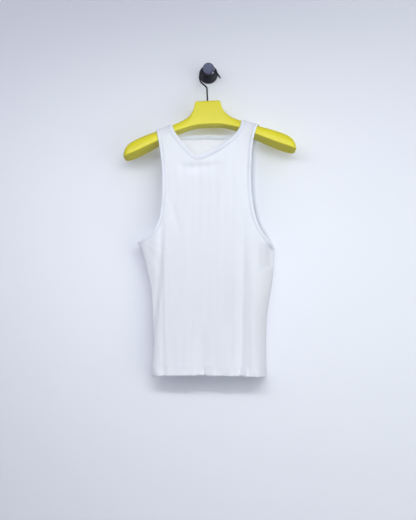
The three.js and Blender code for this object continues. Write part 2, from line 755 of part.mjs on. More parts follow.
// Centre line of the wire, from the end of the stem up and round to the free end
function hookLine() {
  const rise = hookRadius - wireRadius - pegNeckRadius - fitGap;
  const overX = -hangerOrigin.x * Math.cos(hangerTilt) - hangerOrigin.z * Math.sin(hangerTilt);
  const overUp = hangerOrigin.x * Math.sin(hangerTilt) - hangerOrigin.z * Math.cos(hangerTilt);
  const lean = Math.min(Math.abs(overX - hookCentreX), rise);
  const centre = new THREE.Vector2(hookCentreX, overUp - Math.sqrt(rise * rise - lean * lean));
  const onRing = (angle) => {
    const spoke = new THREE.Vector2(Math.cos(angle), Math.sin(angle));
    return spoke.multiplyScalar(hookRadius).add(centre);
  };
  const ringStart = onRing(hookArcStart);
  const slant = new THREE.Vector2(Math.sin(hookArcStart), -Math.cos(hookArcStart));
  const bend = ringStart.clone().addScaledVector(slant, ringStart.x / -slant.x);
  const bendStart = new THREE.Vector2(0, bend.y - hookBendLength);
  const bendEnd = bend.clone().addScaledVector(slant, hookBendLength);
  const bendCurve = new THREE.QuadraticBezierCurve(bendStart, bend, bendEnd);
  const points = [];
  const stemEnd = stationTop(0) - stemDepth;
  for (let i = 0; i < stemSteps; i++) {
    points.push(new THREE.Vector2(0, mix(stemEnd, bendStart.y, i / stemSteps)));
  }
  for (let i = 0; i <= bendSteps; i++) points.push(bendCurve.getPoint(i / bendSteps));
  points.push(bendEnd.clone().lerp(ringStart, 0.5));
  for (let i = 0; i <= ringSteps; i++) points.push(onRing(mix(hookArcStart, hookTailAngle, i / ringSteps)));
  const tail = new THREE.Vector2(Math.sin(hookTailAngle), -Math.cos(hookTailAngle));
  const tailStart = points[points.length - 1];
  for (let i = 1; i <= tailSteps; i++) {
    points.push(tailStart.clone().addScaledVector(tail, (hookTailLength * i) / tailSteps));
  }
  return new THREE.CatmullRomCurve3(points.map((point) => hangerToPart(point.x, 0, point.y)));
}

function makeHook() {
  const ring = [];
  for (let i = 0; i < wireSides; i++) {
    const angle = (i / wireSides) * Math.PI * 2;
    ring.push(new THREE.Vector2(wireRadius * Math.cos(angle), wireRadius * Math.sin(angle)));
  }
  return new THREE.ExtrudeGeometry(new THREE.Shape(ring), {
    steps: wireSteps,
    bevelEnabled: false,
    extrudePath: hookLine(),
  });
}

function makePeg() {
  const profile = pegProfile.map((row) => new THREE.Vector2(row.radius, row.out));
  const peg = new THREE.LatheGeometry(profile, pegSides);
  peg.rotateX(Math.PI);
  return peg;
}

// Finishes
const cotton = new THREE.MeshStandardMaterial({ color: 0xe9eef5, roughness: 0.92, metalness: 0 });
const cottonBinding = new THREE.MeshStandardMaterial({ color: 0xe4eaf3, roughness: 0.9, metalness: 0 });
const yellowPaint = new THREE.MeshStandardMaterial({ color: 0xded64b, roughness: 0.45, metalness: 0 });
const blackWire = new THREE.MeshStandardMaterial({ color: 0x16171a, roughness: 0.4, metalness: 0.6 });
const blackPaint = new THREE.MeshStandardMaterial({ color: 0x1b1d22, roughness: 0.5, metalness: 0.1 });

const part = new THREE.Group();

function addPiece(name, geometry, material) {
  const piece = new THREE.Mesh(geometry, material);
  piece.name = name;
  part.add(piece);
  return piece;
}

const frontArmholes = { left: frontArmholeLeft, right: frontArmholeRight };
const backArmholes = { left: backArmholeLeft, right: backArmholeRight };
addPiece('front_panel', makePanel(-1, frontArmholes, frontNeckline, frontHem, neckBottom.front), cotton);
addPiece('back_panel', makePanel(1, backArmholes, backNeckline, backHem, neckBottom.back), cotton);
addPiece('neck_binding', makeNeckBinding(), cottonBinding);
const { leftOuter, rightOuter } = strapsAtShoulder;
const leftBinding = makeArmholeBinding(frontArmholeLeft, backArmholeLeft, leftOuter, leftUnderarm);
const rightBinding = makeArmholeBinding(frontArmholeRight, backArmholeRight, rightOuter, rightUnderarm);
addPiece('armhole_binding_left', leftBinding, cottonBinding);
addPiece('armhole_binding_right', rightBinding, cottonBinding);

const hangerBody = addPiece('hanger_body', makeHangerBody(), yellowPaint);
hangerBody.position.copy(hangerOrigin);
hangerBody.rotation.set(-hangerPitch, -hangerTilt, 0, 'YXZ');
addPiece('hanger_hook', makeHook(), blackWire);
addPiece('wall_peg', makePeg(), blackPaint);

export default part;
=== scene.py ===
import math

import bmesh
import bpy
import numpy as np
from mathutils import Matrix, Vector


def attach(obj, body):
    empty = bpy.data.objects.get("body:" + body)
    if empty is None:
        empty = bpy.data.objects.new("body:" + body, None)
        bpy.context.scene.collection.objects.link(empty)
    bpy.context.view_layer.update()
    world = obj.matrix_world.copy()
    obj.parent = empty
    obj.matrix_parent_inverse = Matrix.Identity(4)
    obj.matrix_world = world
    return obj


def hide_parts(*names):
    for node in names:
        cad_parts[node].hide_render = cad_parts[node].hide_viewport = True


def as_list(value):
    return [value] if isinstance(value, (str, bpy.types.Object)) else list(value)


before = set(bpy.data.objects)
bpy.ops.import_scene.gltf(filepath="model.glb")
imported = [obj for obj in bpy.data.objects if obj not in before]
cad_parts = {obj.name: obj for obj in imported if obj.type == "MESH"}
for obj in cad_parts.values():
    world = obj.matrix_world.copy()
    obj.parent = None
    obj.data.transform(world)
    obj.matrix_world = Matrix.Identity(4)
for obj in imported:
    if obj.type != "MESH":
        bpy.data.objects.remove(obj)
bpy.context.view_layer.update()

# A white rib tank top on a yellow hanger, hung from a dark wall peg.
# Shapes are worked out in millimetres: x to the right, y into the wall, z up, zero at the peg's foot.

mm = 0.001
luck = np.random.default_rng(11)  # small unevenness, the same every time


# small helpers

def mix(a, b, t):
    return a + (b - a) * t


def ease(t):
    t = np.clip(t, 0, 1)
    return t * t * (3 - 2 * t)


def ramp(t):
    t = np.clip(t, 0, 1)
    return t * (2 - t)


def column(rows, i):
    return np.array([row[i] for row in rows], float)


# smooth curve through a table, never swinging past its rows
def curveThrough(keys, values):
    order = np.argsort(keys)
    k, v = np.asarray(keys, float)[order], np.asarray(values, float)[order]
    slopes = np.diff(v) / np.diff(k)
    before, after = slopes[:-1], slopes[1:]
    same = before * after > 0
    inner = np.where(same, 2 * before * after / np.where(same, before + after, 1), 0)
    tangents = np.concatenate([slopes[:1], inner, slopes[-1:]])

    def at(x):
        x = np.clip(x, k[0], k[-1])
        i = np.clip(np.searchsorted(k, x, side="right") - 1, 0, len(k) - 2)
        span = k[i + 1] - k[i]
        t = (x - k[i]) / span
        bend = t * (1 - t) ** 2 * span * tangents[i] + t * t * (t - 1) * span * tangents[i + 1]
        return v[i] + (v[i + 1] - v[i]) * t * t * (3 - 2 * t) + bend

    return at


# round line through points, sampled at even steps; gives places and directions
def roundLine(points, count):
    p = np.asarray(points, float)
    gaps = np.linalg.norm(np.diff(p, axis=0), axis=1)[:, None]
    slopes = np.diff(p, axis=0) / gaps
    inner = (slopes[:-1] * gaps[1:] + slopes[1:] * gaps[:-1]) / (gaps[1:] + gaps[:-1])
    tangents = np.concatenate([slopes[:1], inner, slopes[-1:]])
    t = np.linspace(0, 1, 24, endpoint=False)[:, None]
    dense = []
    for i in range(len(p) - 1):
        span = gaps[i]
        bend = t * (1 - t) ** 2 * span * tangents[i] + t * t * (t - 1) * span * tangents[i + 1]
        dense.append(p[i] + (p[i + 1] - p[i]) * t * t * (3 - 2 * t) + bend)
    dense = np.concatenate([*dense, p[-1:]])
    travel = np.concatenate([[0], np.cumsum(np.linalg.norm(np.diff(dense, axis=0), axis=1))])
    even = np.linspace(0, travel[-1], count)
    places = np.stack([np.interp(even, travel, dense[:, a]) for a in range(p.shape[1])], axis=1)
    heading = np.gradient(places, axis=0)
    return places, heading / np.linalg.norm(heading, axis=1)[:, None]


# mesh object from points in millimetres, faces of four or more corners, and a uv for each corner
def addPiece(name, points, faces, uv=None):
    used, compact = np.unique(np.concatenate([np.ravel(f) for f in faces]), return_inverse=True)
    mesh = bpy.data.meshes.new(name)
    sizes = [len(f) for f in faces]
    cuts = np.cumsum([0, *sizes])
    tidy = [compact[a:b].tolist() for a, b in zip(cuts[:-1], cuts[1:])]
    mesh.from_pydata((np.asarray(points)[used] * mm).tolist(), [], tidy)
    mesh.polygons.foreach_set("use_smooth", [True] * len(mesh.polygons))
    if uv is not None:
        mesh.uv_layers.new(name="cloth").data.foreach_set("uv", np.asarray(uv, float).ravel())
    piece = bpy.data.objects.new(name, mesh)
    bpy.context.scene.collection.objects.link(piece)
    return piece


# corners of the quads of a grid; rows and columns may close on themselves
def gridCorners(rows, columns, closeRows=False, closeColumns=False, flip=False):
    j, i = np.meshgrid(
        np.arange(rows - (not closeRows)), np.arange(columns - (not closeColumns)), indexing="ij"
    )
    corners = np.stack([[j, i], [j, i + 1], [j + 1, i + 1], [j + 1, i]]).transpose(2, 3, 0, 1)
    corners = corners.reshape(-1, 4, 2)
    return corners[:, ::-1] if flip else corners


def gridPiece(name, grid, uv, closeRows=False, closeColumns=False, flip=False, caps=False):
    rows, columns = grid.shape[:2]
    corners = gridCorners(rows, columns, closeRows, closeColumns, flip)
    j, i = corners[..., 0], corners[..., 1]
    faces = ((j % rows) * columns + i % columns).tolist()
    corner = uv[j, i].reshape(-1, 2)
    if caps:
        first, last = list(range(columns)), list(range((rows - 1) * columns, rows * columns))
        faces += [first if flip else first[::-1], last[::-1] if flip else last]
        corner = np.concatenate([corner, np.zeros((2 * columns, 2))])
    return addPiece(name, grid.reshape(-1, 3), faces, corner)


def finish(piece, slot, material, *nodes):
    piece.data.materials.append(material)
    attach(piece, "root")
    if nodes:
        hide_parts(*nodes)
    return piece


# camera

camera = {
    "place": (-1.2, -1300, -451),  # 1.3 m from the wall, level with the chest
    "lens": 36.98,
    "sensor": 36.0,  # along the picture's height
}


def addCamera():
    data = bpy.data.cameras.new("photoCamera")
    data.sensor_fit = "VERTICAL"
    data.sensor_height = camera["sensor"]
    data.lens = camera["lens"]
    eye = bpy.data.objects.new("photoCamera", data)
    eye.location = Vector(camera["place"]) * mm
    eye.rotation_euler = (math.pi / 2, 0, 0)
    bpy.context.scene.collection.objects.link(eye)
    bpy.context.scene.camera = eye


addCamera()
print("camera set")


# finishes

class Finish:
    # a material and short ways to add nodes to it
    def __init__(self, name, **values):
        self.material = bpy.data.materials.new(name)
        self.material.use_nodes = True
        self.tree = self.material.node_tree
        self.shader = self.tree.nodes["Principled BSDF"]
        for key, value in values.items():
            self.shader.inputs[key].default_value = value

    def add(self, kind, inputs=None, output=0, **settings):
        made = self.tree.nodes.new(kind)
        for key, value in settings.items():
            setattr(made, key, value)
        for key, value in (inputs or {}).items():
            if isinstance(value, bpy.types.NodeSocket):
                self.tree.links.new(value, made.inputs[key])
            else:
                made.inputs[key].default_value = value
        return made.outputs[output]

    def math(self, operation, a, b=0.0, c=0.0):
        return self.add("ShaderNodeMath", {0: a, 1: b, 2: c}, operation=operation)

    def blend(self, share, a, b):
        return self.add("ShaderNodeMix", {0: share, 6: a, 7: b}, output=2, data_type="RGBA")

    def noise(self, place, scale, detail=2.0, roughness=0.5):
        inputs = {"Vector": place, "Scale": scale, "Detail": detail, "Roughness": roughness}
        return self.add("ShaderNodeTexNoise", inputs)

    def drive(self, key, value):
        self.tree.links.new(value, self.shader.inputs[key])

    def bump(self, height, distance, strength=1.0):
        inputs = {"Height": height, "Distance": distance, "Strength": strength}
        self.drive("Normal", self.add("ShaderNodeBump", inputs))


# knitted cotton: ribs along the cloth's length, rows of loops across them, a little fuzz; the colour is painted
# darker in the grooves between ribs and loops as painted shade, with soft random patches of tone
def knitCotton(name, ribPitch, rowPitch, light, deep, relief):
    look = Finish(name, Roughness=0.95)
    look.shader.inputs["Sheen Weight"].default_value = 0.25
    look.shader.inputs["Sheen Roughness"].default_value = 0.55
    look.shader.inputs["Specular IOR Level"].default_value = 0.25
    look.shader.inputs["Subsurface Weight"].default_value = 0.75  # light comes through the knit
    look.shader.inputs["Subsurface Radius"].default_value = (1.0, 1.0, 1.0)
    look.shader.inputs["Subsurface Scale"].default_value = 3.5 * mm
    cloth = look.add("ShaderNodeUVMap", uv_map="cloth")
    sides = look.add("ShaderNodeSeparateXYZ", {0: cloth})
    across, along = sides.node.outputs[0], sides.node.outputs[1]
    ribs = look.math("SINE", look.math("MULTIPLY", across, 2 * math.pi / ribPitch))
    ribs = look.math("MULTIPLY_ADD", ribs, 0.5, 0.5)
    ribs = look.math("POWER", ribs, 0.7)
    lean = look.math("MULTIPLY", look.math("PINGPONG", across, ribPitch / 2), 0.8)
    loops = look.math("MULTIPLY", look.math("ADD", along, lean), 2 * math.pi / rowPitch)
    loops = look.math("MULTIPLY_ADD", look.math("SINE", loops), 0.5, 0.5)
    place = look.add("ShaderNodeTexCoord", output=3)
    fuzz = look.noise(place, 2600.0, 2.0)
    patches = look.noise(place, 14.0, 3.0)
    height = look.math("MULTIPLY_ADD", loops, 0.28, ribs)
    height = look.math("MULTIPLY_ADD", fuzz, 0.35, height)
    # colour share follows the ribs' and loops' height: painted shade in their grooves, plus random patches of
    # tone
    share = look.math("MULTIPLY_ADD", patches, 0.3, look.math("MULTIPLY", height, 0.55))
    look.drive("Base Color", look.blend(share, deep, light))
    look.bump(height, relief * mm, 0.7)
    return look.material


frontFinish = knitCotton("ribCotton", 2.1, 1.1, (0.845, 0.885, 0.94, 1), (0.775, 0.815, 0.87, 1), 0.22)
# the back panel is the same cotton painted lighter: painted light on its inside, seen through the neckline and
# armholes
backPaintedLighter = knitCotton("ribCottonBackPaintedLighter", 2.1, 1.1, (0.89, 0.925, 0.97, 1), (0.83, 0.865, 0.91, 1), 0.22)
# the bindings are the same cotton painted darker: painted shade that keeps their raised folds from looking
# brighter than the cloth
bindingPaintedDarker = knitCotton("bindingCottonPaintedDarker", 1.9, 1.1, (0.77, 0.805, 0.86, 1), (0.695, 0.73, 0.78, 1), 0.2)


# sewing thread; its colour is painted darker along the twist's grooves as painted shade
def threadFinish():
    look = Finish("sewingThread", Roughness=0.7)
    place = look.add("ShaderNodeTexCoord", output=3)
    twist = look.add(
        "ShaderNodeTexWave", {"Vector": place, "Scale": 900.0, "Distortion": 2.0}, bands_direction="DIAGONAL"
    )
    look.drive("Base Color", look.blend(twist.node.outputs[1], (0.70, 0.73, 0.78, 1), (0.82, 0.84, 0.87, 1)))
    look.bump(twist.node.outputs[1], 0.0001)
    return look.material


# sprayed lacquer: a faint orange peel, a few soft rubs and specks
def lacquerFinish():
    look = Finish("yellowLacquer", Roughness=0.42)
    look.shader.inputs["Coat Weight"].default_value = 0.12
    look.shader.inputs["Coat Roughness"].default_value = 0.3
    place = look.add("ShaderNodeTexCoord", output=3)
    cloudy = look.noise(place, 9.0, 4.0)
    peel = look.noise(place, 420.0, 2.0)
    specks = look.noise(place, 1500.0, 1.0)
    rubs = look.math("SMOOTH_MIN", look.math("MULTIPLY", cloudy, 1.3), 1.0, 0.2)
    look.drive("Base Color", look.blend(rubs, (0.64, 0.565, 0.014, 1), (0.77, 0.715, 0.024, 1)))
    look.drive("Roughness", look.math("MULTIPLY_ADD", look.noise(place, 60.0, 3.0), 0.16, 0.34))
    look.bump(look.math("MULTIPLY_ADD", specks, 0.2, peel), 0.00012, 0.5)
    return look.material


def wireFinish():
    look = Finish("blackWire", Metallic=0.3, Roughness=0.4)
    place = look.add("ShaderNodeTexCoord", output=3)
    worn = look.noise(place, 160.0, 4.0)
    look.drive("Base Color", look.blend(worn, (0.007, 0.007, 0.010, 1), (0.022, 0.022, 0.028, 1)))
    look.drive("Roughness", look.math("MULTIPLY_ADD", look.noise(place, 500.0, 2.0), 0.25, 0.25))
    look.bump(look.noise(place, 900.0, 2.0), 0.00008, 0.5)
    return look.material


pegLook = {
    "faceAt": 42.2,
    "hatchPitch": 2.3,
    "brushed": [(0.06, 0.067, 0.11, 1), (0.10, 0.108, 0.175, 1)],
    "around": [(0.009, 0.010, 0.015, 1), (0.03, 0.032, 0.045, 1)],
}


# dark turned peg; only its end face is brushed, in a diagonal hatch
def pegFinish():
    look = Finish("turnedPeg", Roughness=0.38, Metallic=0.35)
    place = look.add("ShaderNodeTexCoord", output=3)
    sides = look.add("ShaderNodeSeparateXYZ", {0: place})
    x, y, z = (sides.node.outputs[i] for i in range(3))
    face = look.math("LESS_THAN", y, -pegLook["faceAt"] * mm)
    turn = 2 * math.pi / (pegLook["hatchPitch"] * mm)
    one = look.math("SINE", look.math("MULTIPLY", look.math("ADD", x, z), turn))
    two = look.math("SINE", look.math("MULTIPLY", look.math("SUBTRACT", x, z), turn))
    hatch = look.math("MULTIPLY_ADD", look.math("ADD", one, two), 0.25, 0.5)
    scratches = look.noise(place, 700.0, 3.0)
    tone = look.math("MULTIPLY_ADD", scratches, 0.35, look.math("MULTIPLY", hatch, 0.65))
    brushed = look.blend(tone, *pegLook["brushed"])
    around = look.blend(look.noise(place, 80.0, 3.0), *pegLook["around"])
    look.drive("Base Color", look.blend(face, around, brushed))
    look.drive("Roughness", look.math("MULTIPLY_ADD", scratches, 0.25, 0.28))
    look.bump(look.math("MULTIPLY_ADD", look.math("MULTIPLY", hatch, face), 0.8, scratches), 0.00018, 0.6)
    return look.material


print("finishes made")


# hanger

hanger = {
    "tilt": math.radians(2.6),
    "pitch": math.radians(8),
    "origin": (-5.9, -22, 5.1),
    "underEdge": 2.5,
    "underEdgeShare": 0.18,  # of the arm's height, where the arm is thin
    "neckRounding": 5,
    "domeShare": 0.78,
    "domeSquareness": 0.92,
    "tipHole": {"radius": 2.6, "depth": 3, "x": 186, "y": 11},
    "boreRadius": 2.2,
    "boreDepth": 20,
    # x, top, underside, depth front to back, share of full dome
    "stations": [
        (0, -84, -142, 28, 0), (12, -84, -142.2, 28, 0), (25.5, -84, -142.9, 28, 0),
        (28.6, -85.3, -143.2, 28, 0), (30.4, -88.6, -143.4, 28, 0.01), (32.2, -97.2, -143.7, 28, 0.05),
        (34.8, -104.7, -144.2, 28, 0.14), (38.8, -111.5, -145, 28.1, 0.3), (44, -117.2, -146.4, 28.5, 0.5),
        (51, -122.4, -148.2, 29.1, 0.72), (59, -126.6, -150.8, 30, 0.9), (66, -129.6, -153, 31, 1),
        (76, -134, -156.6, 33, 1), (88, -138.4, -163, 36, 1), (103, -144.2, -171, 40, 1),
        (118, -150, -179, 43, 1), (133, -155, -186.2, 45.5, 1), (148, -160, -193.4, 47.5, 1),
        (163, -166, -200.2, 49, 1), (176, -172, -205.6, 49.5, 1), (185, -177.2, -209.2, 48.5, 1),
        (191, -182.3, -211.2, 45.5, 1), (195.5, -188, -212.2, 40, 1), (198.6, -194.4, -212.4, 32, 1),
        (200.6, -200.6, -211.6, 21, 1), (201.5, -205, -210, 10, 1),
    ],
}
hangerTop, hangerUnder, hangerDepth, hangerDome = (
    curveThrough(column(hanger["stations"], 0), column(hanger["stations"], i)) for i in (1, 2, 3, 4)
)


# places in the hanger's own frame, as it hangs
def hung(x, depth, up):
    y = depth * math.cos(hanger["pitch"]) + up * math.sin(hanger["pitch"])
    z = up * math.cos(hanger["pitch"]) - depth * math.sin(hanger["pitch"])
    c, s = math.cos(hanger["tilt"]), math.sin(hanger["tilt"])
    turned = np.stack(np.broadcast_arrays(x * c - z * s, y, x * s + z * c), axis=-1)
    return turned + np.array(hanger["origin"])


# from the ridge down the wall side to the underside, for one x or many
def halfSection(x, arcSteps=7, edgeSteps=3):
    x = np.abs(np.asarray(x, float))[..., None]
    top, under, half, dome = hangerTop(x), hangerUnder(x), hangerDepth(x) / 2, hangerDome(x)
    across = mix(hanger["neckRounding"], half, dome)
    down = mix(hanger["neckRounding"], hanger["domeShare"] * (top - under), dome)
    turn = np.linspace(0, math.pi / 2, arcSteps + 1)
    edge = np.linspace(0, math.pi / 2, edgeSteps + 1)
    fillet = np.minimum(hanger["underEdge"], hanger["underEdgeShare"] * (top - under))
    depth = np.concatenate([
        half - across + across * np.sin(turn) ** hanger["domeSquareness"],
        half - fillet * (1 - np.cos(edge)),
    ], axis=-1)
    up = np.concatenate([
        top - down + down * np.clip(np.cos(turn), 0, 1) ** hanger["domeSquareness"],
        under + fillet * (1 - np.sin(edge)),
    ], axis=-1)
    return depth, up


def addHanger():
    tip = hanger["stations"][-1][0]
    # closer sections at the neck and at the tips
    half = np.concatenate([
        np.linspace(0, 60, 81), np.linspace(61.5, tip - 12, 86), np.linspace(tip - 11.6, tip, 40),
    ])
    stations = np.concatenate([-half[:0:-1], half])
    depth, up = halfSection(stations, 16, 5)
    depth = np.concatenate([-depth[:, :0:-1], depth], axis=1)
    up = np.concatenate([up[:, :0:-1], up], axis=1)
    grid = hung(stations[:, None], depth, up)
    # a rounded end: two smaller rings past each tip
    ends = []
    for end, station in ((0, -tip), (-1, tip)):
        middle = np.array([0, depth[end].mean(), up[end].mean()])
        for share, past in ((0.85, 0.15), (0.6, 0.28), (0.3, 0.35)):
            ends.append(hung(
                station + math.copysign(past, station),
                middle[1] + (depth[end] - middle[1]) * share,
                middle[2] + (up[end] - middle[2]) * share,
            ))
    grid = np.concatenate([np.array(ends[:3])[::-1], grid, np.array(ends[3:])])
    rows, columns = grid.shape[:2]
    uv = np.zeros((rows, columns + 1, 2))
    body = gridPiece("hangerBody", grid, uv, closeColumns=True, flip=True, caps=True)

    def cutter(x, y, up, radius, depth):
        tool = bmesh.new()
        bmesh.ops.create_cone(
            tool, cap_ends=True, segments=32, radius1=radius * mm, radius2=radius * mm, depth=2 * depth * mm
        )
        mesh = bpy.data.meshes.new("cutter")
        tool.to_mesh(mesh)
        tool.free()
        made = bpy.data.objects.new("cutter", mesh)
        bpy.context.scene.collection.objects.link(made)
        made.rotation_mode = "YXZ"
        made.location = hung(x, y, up) * mm
        made.rotation_euler = (-hanger["pitch"], -hanger["tilt"], 0)
        return made

    hole = hanger["tipHole"]
    tools = [cutter(0, 0, hangerTop(0.0), hanger["boreRadius"], hanger["boreDepth"])]
    for end in (-1, 1):
        tools.append(cutter(end * hole["x"], hole["y"], hangerUnder(hole["x"]), hole["radius"], hole["depth"]))
    bpy.context.view_layer.update()
    for tool in tools:
        cut = body.modifiers.new("hole", "BOOLEAN")
        cut.object = tool
        cut.solver = "EXACT"
    bpy.context.view_layer.update()
    carved = bpy.data.meshes.new_from_object(body.evaluated_get(bpy.context.evaluated_depsgraph_get()))
    body.modifiers.clear()
    body.data = carved
    for tool in tools:
        bpy.data.objects.remove(tool)
    body.data.set_sharp_from_angle(angle=math.radians(50))
    return finish(body, "hanger_paint", lacquerFinish(), "hanger_body")


addHanger()
print("hanger made")


# wire hook

hook = {
    "wire": 1.9,
    "radius": 22,
    "centreX": 5.7,
    "bendLength": 4,
    "ringStart": math.radians(225),
    "tailAngle": math.radians(31),
    "tailLength": 17.5,
    "stemDepth": 18,
    "overPeg": 4.9,  # the peg's neck and the little gap above it
}


# up the stem, round the bend, straight to the ring, round it and down the free end
def hookLine():
    ox, _, oz = hanger["origin"]
    c, s = math.cos(hanger["tilt"]), math.sin(hanger["tilt"])
    rise = hook["radius"] - hook["wire"] - hook["overPeg"]
    overX, overUp = -ox * c - oz * s, ox * s - oz * c
    lean = min(abs(overX - hook["centreX"]), rise)
    centre = np.array([hook["centreX"], overUp - math.sqrt(rise * rise - lean * lean)])
    turns = np.linspace(hook["ringStart"], hook["tailAngle"], 40)[:, None]
    ring = centre + hook["radius"] * np.concatenate([np.cos(turns), np.sin(turns)], axis=1)
    slant = np.array([math.sin(hook["ringStart"]), -math.cos(hook["ringStart"])])
    bend = ring[0] - slant * ring[0][0] / slant[0]
    low, high = bend - np.array([0, hook["bendLength"]]), bend + slant * hook["bendLength"]
    stem = [np.array([0, up]) for up in np.linspace(hanger["stations"][0][1] - hook["stemDepth"], low[1], 8)]
    turn = [mix(mix(low, bend, t), mix(bend, high, t), t) for t in (0.25, 0.5, 0.75, 1)]
    tail = np.array([math.sin(hook["tailAngle"]), -math.cos(hook["tailAngle"])]) * hook["tailLength"]
    end = [ring[-1] + tail * t for t in (1 / 3, 2 / 3, 1)]
    flat = np.array([*stem, *turn, (high + ring[0]) / 2, *ring, *end])
    return hung(flat[:, 0], 0.0, flat[:, 1])


# round bar along a line, with softly rounded ends
def barGrid(line, radius, sides, count):
    places, heading = roundLine(line, count)
    up = np.array([0.0, 1.0, 0.0])
    rings = []
    for place, ahead in zip(places, heading):
        up = up - ahead * (up @ ahead)
        up /= np.linalg.norm(up)
        side = np.cross(ahead, up)
        turn = np.linspace(0, 2 * math.pi, sides, endpoint=False)[:, None]
        rings.append(np.cos(turn) * up + np.sin(turn) * side)
    rings = np.array(rings)
    radii = np.full(count, radius)
    for k, share in enumerate((0.35, 0.8, 0.97)):
        radii[k] = radii[-1 - k] = radius * share
    step = 0.35 * radius
    for k in range(3):
        places[k] = places[3] - heading[3] * step * (3 - k)
        places[-1 - k] = places[-4] + heading[-4] * step * (3 - k)
    return places[:, None] + rings * radii[:, None, None]


def addHook():
    grid = barGrid(hookLine(), hook["wire"], 20, 220)
    rows, columns = grid.shape[:2]
    piece = gridPiece("wireHook", grid, np.zeros((rows, columns + 1, 2)), closeColumns=True, caps=True)
    return finish(piece, "hook_wire", wireFinish(), "hanger_hook")


addHook()
print("hook made")


# wall peg

peg = {
    "foot": [(0.0, 0.0), (21.2, 0.0), (22.2, 0.25), (22.6, 0.8), (22.6, 2.1), (22.3, 2.7), (21.8, 3.0)],
    "flare": [(21.8, 3), (17.6, 4.4), (13.4, 6.6), (9.8, 9.6), (7, 13.2), (5.3, 17), (4.6, 19.8)],
    "head": [
        (4.6, 26), (4.8, 27), (6, 28.6), (8.2, 29.8), (10.5, 30.6), (12.6, 31.15), (13.4, 31.5),
        (13.8, 32.2), (13.8, 33.5), (13.8, 37), (13.8, 41.4), (13.6, 42.3), (13.1, 42.85), (12.3, 43),
        (11.6, 42.7), (11.2, 42.55), (6, 42.55), (0.0, 42.55),
    ],
    "sides": 96,
}


def addPeg():
    flareRadius = curveThrough(column(peg["flare"], 1), column(peg["flare"], 0))
    out = np.linspace(3, 19.8, 26)[1:]
    profile = np.array([*peg["foot"], *zip(flareRadius(out), out), *peg["head"]])
    turn = np.linspace(0, 2 * math.pi, peg["sides"], endpoint=False)
    radius, out = profile[1:-1, 0][:, None], profile[1:-1, 1][:, None]
    grid = np.stack(np.broadcast_arrays(radius * np.cos(turn), -out, radius * np.sin(turn)), axis=-1)
    rows, columns = grid.shape[:2]
    piece = gridPiece("turnedPeg", grid, np.zeros((rows, columns + 1, 2)), closeColumns=True, caps=True)
    piece.data.set_sharp_from_angle(angle=math.radians(55))
    return finish(piece, "peg_finish", pegFinish(), "wall_peg")


addPeg()
print("peg made")


# how the cloth hangs

drape = {
    "clearance": 2.0,  # middle of the cloth above the hanger
    "strapBlend": 110,
    "seamTurn": 9,
    "shoulderSlope": 0.93,
    "settleShare": 0.06,
    # z, left seam x and y, right seam x and y
    "sideSeams": [
        (-731, -132.5, -44, 139.5, -14), (-700, -132.6, -44, 138.4, -15), (-648, -128.1, -44, 137.8, -17),
        (-600, -130.6, -43, 138.8, -18), (-548, -133, -42, 144.2, -20), (-508, -137.1, -42, 151, -21),
        (-470, -145.6, -41, 155.4, -17), (-432, -156.8, -40, 158, -13), (-407.4, -167.5, -40, 161.6, -17),
    ],
    # z, front, back, left turn, right turn
    "layers": [
        (-730, -52, -11, 22, 34), (-560, -53, -12, 34, 38), (-410, -57, -13, 62, 76),
        (-240, -60, -14, 62, 76), (-130, -62, -17, 62, 76),
    ],
    "leftUnderarm": (-167.5, -407.4),
    "rightUnderarm": (161.2, -422.3),
}
seamLeftX, seamLeftY, seamRightX, seamRightY = (
    curveThrough(column(drape["sideSeams"], 0), column(drape["sideSeams"], i)) for i in (1, 2, 3, 4)
)
frontCrest, backCrest, turnLeft, turnRight = (
    curveThrough(column(drape["layers"], 0), column(drape["layers"], i)) for i in (1, 2, 3, 4)
)

# folds: x and z of both ends, sideways bow, width on the left and on the right, depth towards the wall
frontFolds = [
    (-108, -345, -130, -600, 5, 8, 6, 6.5),  # left side valley
    (-104, -400, -117, -640, 2, 8, 10, -2.0),  # roll beside it
    (-109, -430, -105, -735, -1, 6, 5, 2.6),  # left hem valley
    (-122, -590, -127, -735, 1, 6, 6, -1.6),
    (-94, -300, -68, -385, 2, 6, 9, 1.8),  # drag line from the armhole
    (-80, -310, -56, -400, 3, 8, 12, -0.9),
    (86, -330, 79, -735, -1.5, 10, 6, 4.6),  # right long valley
    (101, -385, 103, -735, 0, 9, 14, -3),  # roll beside it
    (60, -430, 58, -735, 2, 14, 16, -1.0),
    (-14, -610, -18, -735, 1, 9, 10, 3.2),  # middle valley
    (36, -600, 36, -735, -2, 18, 18, -1.6),  # middle right roll
    (-52, -620, -50, -735, 0, 22, 20, -1.2),
    (157, -415, 158, -466, 0, 14, 12, 44),  # hollow under the right armhole
    (116, -400, 121, -470, 0, 8, 7, -3.0),  # rim left of it
    (124, -484, 156, -488, 2, 7, 9, -6.0),  # roll under it
    (34, -229, -62, -235, 0, 7, 17, 3.6),  # soft hollow under the neckline
    (2, -232, -44, -234, 0, 7, 13, 2.6),
    (-22, -226, -22, -310, 0, 9, 9, 1.2),
    (-150, -412, -118, -470, 3, 7, 8, 2.0),  # drag lines from the left underarm
    (-146, -404, -104, -428, -2, 5, 6, 1.3),
    (-140, -455, -128, -560, 2, 7, 7, 2.2),
]
backFolds = [
    (-84, -330, -92, -735, 3, 12, 10, -5),
    (-108, -420, -114, -735, -2, 9, 9, 3),
    (8, -470, 16, -735, 2, 15, 13, -5),
    (-34, -540, -38, -735, 0, 16, 15, 3),
    (74, -360, 66, -735, -3, 11, 12, -4),
    (104, -430, 108, -735, 2, 10, 12, 3),
    (-30, -210, -34, -300, 0, 10, 12, 1.4),
    (40, -205, 30, -290, 2, 12, 10, -1.2),
    (92, -350, 120, -430, 2, 7, 8, -2),
    (-96, -345, -126, -410, -2, 7, 8, -2),
    (150, -413, 152, -470, 0, 15, 18, 36),
]
